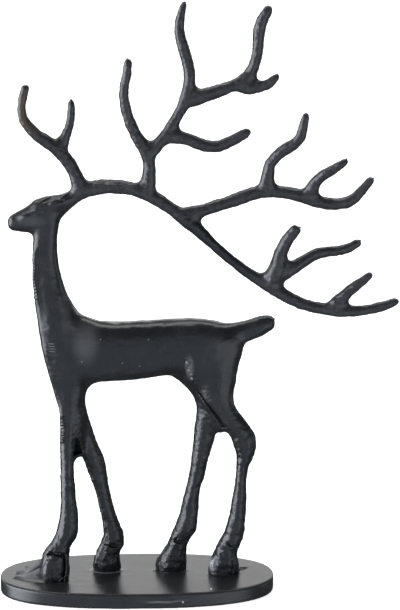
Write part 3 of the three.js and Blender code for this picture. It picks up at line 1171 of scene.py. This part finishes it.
    def antler_share(self, place: Vector) -> float:
        """Say how far back on the thinner antler a point is, from its place in millimetres.

        Args:
            place: The point.

        Returns:
            The share, 0 on the rest of the stag.
        """
        start, end = self.antler_run
        above = place.z > self.trunk[1][1] or place.x > self.trunk[1][0] + self.antler_gap
        return min(1.0, (place.x - start) / (end - start)) if above else 0.0

    def model_details(self, piece: Piece) -> None:
        """Add the ridges, lumps and grooves that show from a step away.

        Args:
            piece: The piece to change.
        """
        near = FlankSkin(piece, Side.NEAR)
        sides = [near, FlankSkin(piece, Side.FAR)]
        paired = self.face_grooves + self.pastern_grooves
        cutters = [groove.tube(skin) for groove in paired for skin in sides]
        cutters += [groove.tube(near) for groove in self.leg_grooves]
        added = [ridge.tube(skin) for ridge in self.face_ridges for skin in sides]
        added += [ridge.tube(near) for ridge in (*self.hoof_ridges, self.beam_seam)]
        added.append(self.flat_block(self.hoof_block.tube(UprightPlane(piece))))
        added += [tip.tube(TipPlane(piece)) for tip in self.tips]
        added += [rung.tube(near) for ladder in self.ladders for rung in ladder.rungs()]
        for lumps, sink in (self.hoof_lumps, self.hoof_sink), (self.scar_lumps, self.scar_sink):
            added += [self.lump(near.place(x, z, -sink * radius), radius) for x, z, radius in lumps]
        Workbench.carve(piece, cutters)
        Workbench.join(piece, added)

    def flat_block(self, tube: Piece) -> Piece:
        """Press the block of the near forehoof flat to the front."""
        middle = (0.0, self.hoof_block.lift * MM, 0.0)
        return Workbench.press(tube, (1.0, self.block_squash, 1.0), middle)

    def lump(self, place: Vector, radius: float) -> Piece:
        """Add a small round lump, its radius in millimetres.

        Args:
            place: Its middle, in metres.
            radius: Its radius.

        Returns:
            The lump.
        """
        bpy.ops.mesh.primitive_ico_sphere_add(subdivisions=2, radius=radius * MM, location=place)
        bpy.ops.object.transform_apply(location=True, rotation=True, scale=True)
        return bpy.context.active_object

    def dress(self, piece: Piece) -> None:
        """Give the casting its finish and its place in the frame.

        Args:
            piece: The finished casting.
        """
        piece.data.materials.clear()
        piece.data.materials.append(self.finish.material())
        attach(piece, BODY)
        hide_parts("stag")


@dataclass
class BasePlate:
    """The oval plate, with the filler that was run under the near forehoof.

    Attributes:
        finish: The plate's finish.
        voxel: The size of the skin's faces, in millimetres.
        rounds: How often the skin is smoothed.
        ripple: The slight unevenness of its top.
        squash: How flat the run of filler is pressed.
        smooth_turn: The turn between flat facets, in degrees.
        sharp_turn: The least turn at an edge that stays sharp, in degrees.
    """

    finish: PlateIron = PlateIron()
    voxel: float = 0.7
    rounds: int = 4
    ripple: Ripple = Ripple(16.0, 0.12)
    squash: float = 0.22
    smooth_turn: float = 1.0
    sharp_turn: float = 30.0
    filler: tuple[Stroke, ...] = (
        Stroke(((-76.0, -1.0, 3.0), (-71.0, -1.0, 8.0), (-64.0, -1.0, 13.0), (-55.0, -2.0, 16.0))),
        Stroke(((-80.0, -6.0, 2.6), (-75.0, -8.2, 4.8), (-68.0, -10.0, 6.2), (-58.0, -11.4, 7.0)), 2.4),
        Stroke(((-79.5, 1.4, 2.6), (-74.0, 1.8, 4.8), (-67.0, 1.6, 6.0), (-58.0, 1.0, 7.0)), 4.6),
        Stroke(((-74.0, 10.0, 2.0), (-69.0, 10.6, 4.6), (-63.0, 10.2, 5.6), (-57.0, 9.0, 6.0)), 4.6),
    )
    crumbs: tuple[Stroke, ...] = (
        Stroke(((-51.5, -18.5, 0.8), (-48.0, -20.0, 1.4), (-44.5, -19.0, 0.8)), -0.2),
        Stroke(((65.0, 6.5, 1.4), (69.0, 9.5, 2.8), (74.5, 13.5, 0.8)), -0.7),
    )
    drapes: tuple[Stroke, ...] = (
        Stroke(((-60.0, 21.0, 2.0), (-63.0, 18.0, 2.8), (-67.0, 14.6, 3.2), (-72.5, 11.2, 2.6)), -1.5),
        Stroke(((-59.0, 17.0, 2.4), (-63.7, 13.8, 3.2), (-67.7, 11.2, 3.2), (-73.7, 9.0, 2.4)), -8.5),
    )
    beads: tuple[Stroke, ...] = (
        Stroke((
            (-30.4, 6.5, 0.8), (-27.5, 1.6, 1.0), (-20.3, -0.4, 1.1), (-13.0, 1.6, 1.0), (-10.2, 6.5, 0.8),
        ), -0.3),
        Stroke((
            (10.6, 6.5, 0.8), (14.0, 2.0, 1.0), (22.2, 0.2, 1.1), (30.4, 2.0, 1.0), (33.4, 6.5, 0.8),
        ), -0.3),
        Stroke((
            (46.4, -1.0, 0.8), (50.0, -4.6, 1.0), (57.5, -6.4, 1.1), (65.0, -4.6, 1.0), (68.8, 1.0, 0.8),
        ), -0.4),
    )

    def build(self) -> Piece:
        """Shape the plate from the solid.

        Returns:
            The finished piece.
        """
        piece = Workbench.casting_from("base_plate", "plate_casting")
        self.round_outline(piece)
        top = TopSkin(piece)
        added = [stroke.tube(top) for stroke in self.crumbs + self.beads]
        added += [self.flat_tongue(stroke.tube(top)) for stroke in self.filler]
        added += [stroke.tube(UprightPlane(piece)) for stroke in self.drapes]
        Workbench.join(piece, added)
        Workbench.reskin(piece, self.voxel, self.rounds)
        self.ripple.raise_on(piece)
        Workbench.pick(piece)
        bpy.ops.object.shade_smooth()
        return piece

    def round_outline(self, piece: Piece) -> None:
        """Draw the outline's facets out into one curve, with the rim's edges kept sharp.

        Args:
            piece: The piece to change.
        """
        Workbench.edit(
            piece,
            lambda: bpy.ops.mesh.dissolve_limited(angle_limit=math.radians(self.smooth_turn)),
            lambda: bpy.ops.mesh.select_mode(type="EDGE"),
            lambda: bpy.ops.mesh.select_all(action="DESELECT"),
            lambda: bpy.ops.mesh.edges_select_sharp(sharpness=math.radians(self.sharp_turn)),
            lambda: bpy.ops.transform.edge_crease(value=1.0),
        )
        Workbench.apply(piece, Tool.ROUND, levels=3)

    def flat_tongue(self, tube: Piece) -> Piece:
        """Press a run of filler flat on the plate's top."""
        level = (0.0, 0.0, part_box("base_plate")[1].z)
        return Workbench.press(tube, (1.0, 1.0, self.squash), level)

    def dress(self, piece: Piece) -> None:
        """Give the plate its finish and its place in the frame.

        Args:
            piece: The finished plate.
        """
        piece.data.materials.clear()
        piece.data.materials.append(self.finish.material())
        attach(piece, BODY)
        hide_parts("base_plate")


@dataclass(frozen=True)
class Softbox:
    """A lit panel: where its middle is, where it points, its size and its brightness."""

    name: str
    place: Place
    target: Place
    width: float
    height: float
    radiance: float

    def add(self) -> None:
        """Set the panel up."""
        bpy.ops.object.light_add(type="AREA", location=self.place)
        lamp = bpy.context.active_object
        lamp.name = self.name
        lamp.visible_camera = False
        way = Vector(self.target) - Vector(self.place)
        lamp.rotation_euler = way.to_track_quat("-Z", "Y").to_euler()
        lamp.data.shape = "RECTANGLE"
        lamp.data.size = self.width
        lamp.data.size_y = self.height
        lamp.data.energy = self.radiance * math.pi * self.width * self.height


@dataclass(frozen=True)
class Glow:
    """A softly lit wall of the studio, which shows in the gloss of the iron.

    Attributes:
        turn: How far left of the camera its middle is, in degrees.
        tilt: How far above the level it is.
        inner: The angle from the middle to where it starts to fade.
        outer: The angle to where it ends.
        colour: Its brightness.
    """

    turn: float
    tilt: float
    inner: float
    outer: float
    colour: Colour

    def way(self) -> Vector:
        """Give the direction of its middle.

        Returns:
            The direction, of length 1.
        """
        turn = math.radians(self.turn)
        tilt = math.radians(self.tilt)
        return Vector((-math.sin(turn) * math.cos(tilt), -math.cos(turn) * math.cos(tilt), math.sin(tilt)))

    def share(self, nodes: NodeBench, seen: Wire) -> Wire:
        """Give its strength in the direction that is seen, 0 to 1.

        Args:
            nodes: The world's node tree.
            seen: The direction.

        Returns:
            The strength.
        """
        inputs = {0: seen, 1: self.way()}
        facing = nodes.node("ShaderNodeVectorMath", {"operation": "DOT_PRODUCT"}, inputs, "Value")
        return facing.rise(math.cos(math.radians(self.outer)), math.cos(math.radians(self.inner)))


@dataclass
class Studio:
    """The pale floor, the soft light and the camera of the photograph."""

    floor_size: float = 60.0
    floor_colour: Colour = (0.86, 0.86, 0.86)
    floor_roughness: float = 0.9
    floor_glow: float = 0.9
    surround: Colour = (0.06, 0.062, 0.065)
    camera_place: Place = (0.0417, -1.5, 0.560)
    camera_pitch: float = 13.74
    focal_pixels: float = 2395.0
    frame_pixels: float = 610.0
    sensor: float = 36.0
    panels: tuple[Softbox, ...] = (
        Softbox("panel_top", (0.0, 0.5, 1.88), (0.0, 0.0, 0.1), 2.4, 0.95, 3.4),
        Softbox("panel_back", (-0.8, 4.6, 1.7), (0.0, 0.0, 0.1), 11.0, 2.0, 1.86),
    )
    glows: tuple[Glow, ...] = (
        Glow(0.0, -22.0, 12.0, 52.0, (0.43, 0.495, 0.583)),
        Glow(-40.0, -12.0, 10.0, 28.0, (1.3, 1.4, 1.55)),
        Glow(72.0, 4.0, 20.0, 40.0, (6.9, 7.25, 7.8)),
        Glow(-95.0, 0.0, 6.0, 18.0, (1.2, 1.25, 1.3)),
    )

    def add_floor(self) -> None:
        """Lay the pale floor."""
        bpy.ops.mesh.primitive_plane_add(size=self.floor_size)
        floor = bpy.context.active_object
        floor.name = "studio_floor"
        shader = Shader("studio_floor")
        tint = (*self.floor_colour, 1.0)
        shader.set(Base_Color=tint, Roughness=self.floor_roughness)
        shader.set(Emission_Color=tint, Emission_Strength=self.floor_glow)
        floor.data.materials.append(shader.material)
        floor.visible_glossy = False

    def add_light(self) -> None:
        """Set up the panels and the lit walls."""
        for panel in self.panels:
            panel.add()
        world = bpy.data.worlds.new("studio_surround")
        world.use_nodes = True
        nodes = NodeBench(world.node_tree)
        seen = nodes.node("ShaderNodeTexCoord", {}, {}, "Generated")
        light = self.surround
        for glow in self.glows:
            light = nodes.blend(light, glow.colour, glow.share(nodes, seen))
        nodes.feed(world.node_tree.nodes["Background"].inputs["Color"], light)
        bpy.context.scene.world = world
        bpy.context.scene.view_settings.view_transform = "Standard"

    def add_camera(self) -> None:
        """Stand the camera where the photograph was taken from."""
        bpy.ops.object.camera_add(location=self.camera_place)
        camera = bpy.context.active_object
        camera.name = "photo_camera"
        camera.rotation_euler = (math.radians(90.0 - self.camera_pitch), 0.0, 0.0)
        camera.data.sensor_width = self.sensor
        camera.data.lens = self.sensor * self.focal_pixels / self.frame_pixels
        bpy.context.scene.camera = camera


def main() -> None:
    """Build and dress the two castings, and set up the studio."""
    logging.basicConfig(level=logging.INFO, format="%(message)s")
    for casting in (Stag(), BasePlate()):
        piece = casting.build()
        casting.dress(piece)
        LOG.info("%s: %d faces", piece.name, len(piece.data.polygons))
    studio = Studio()
    studio.add_floor()
    studio.add_light()
    studio.add_camera()


if __name__ == "__main__":
    main()
